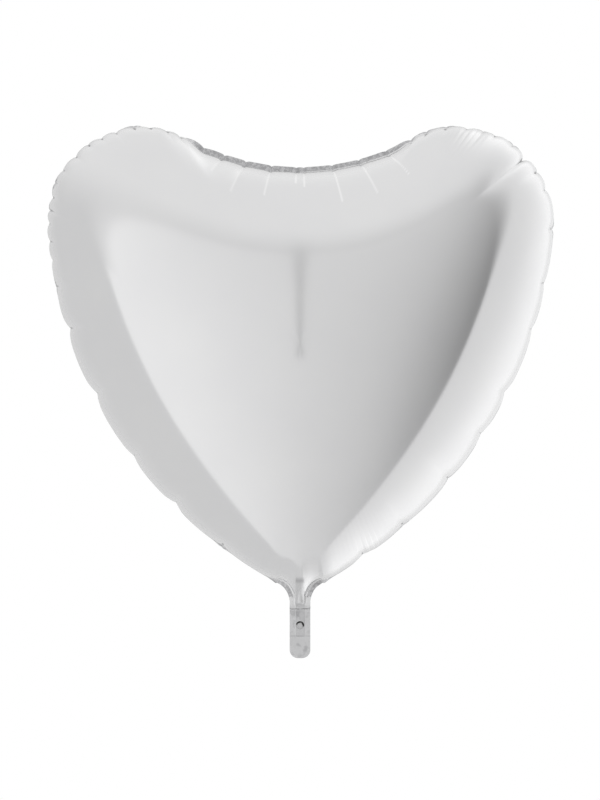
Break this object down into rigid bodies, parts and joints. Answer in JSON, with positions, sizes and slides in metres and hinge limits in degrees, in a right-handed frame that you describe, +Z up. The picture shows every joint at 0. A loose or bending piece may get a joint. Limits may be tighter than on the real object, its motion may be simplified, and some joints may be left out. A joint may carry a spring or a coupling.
{
  "type": "heart-shaped foil balloon",
  "caption": "Inflated heart-shaped foil balloon with a puckered sealed rim and a flat filling tail with a self-sealing valve.",
  "frame": {"origin": "middle of the neck, on the line where the tail flexes and a ribbon is tied", "axes": "+Z up from the tail to the lobes, -Y towards the front with the filling hole, +X across"},
  "size_m": [0.8008, 0.35, 0.8403],
  "materials": {
    "foil": "gloss",
    "seal": "satin",
    "valve_film": "satin"
  },
  "bodies": {
    "envelope": {"front_panel": "foil", "back_panel": "foil", "rim_seal": "seal", "neck_seal": "seal", "front_valve_lip": "valve_film", "back_valve_lip": "valve_film"},
    "tail": {"tail_front_foil": "foil", "tail_back_foil": "foil", "tail_seal": "seal", "front_valve_film": "valve_film", "back_valve_film": "valve_film"}
  },
  "joints": [
    {"name": "tail_flex", "type": "hinge", "parent": "envelope", "child": "tail", "pos_m": [0, 0, 0], "axis": [1, 0, 0], "range_deg": [-85, 85], "stiffness_Nm_per_rad": 0.0005}
  ]
}
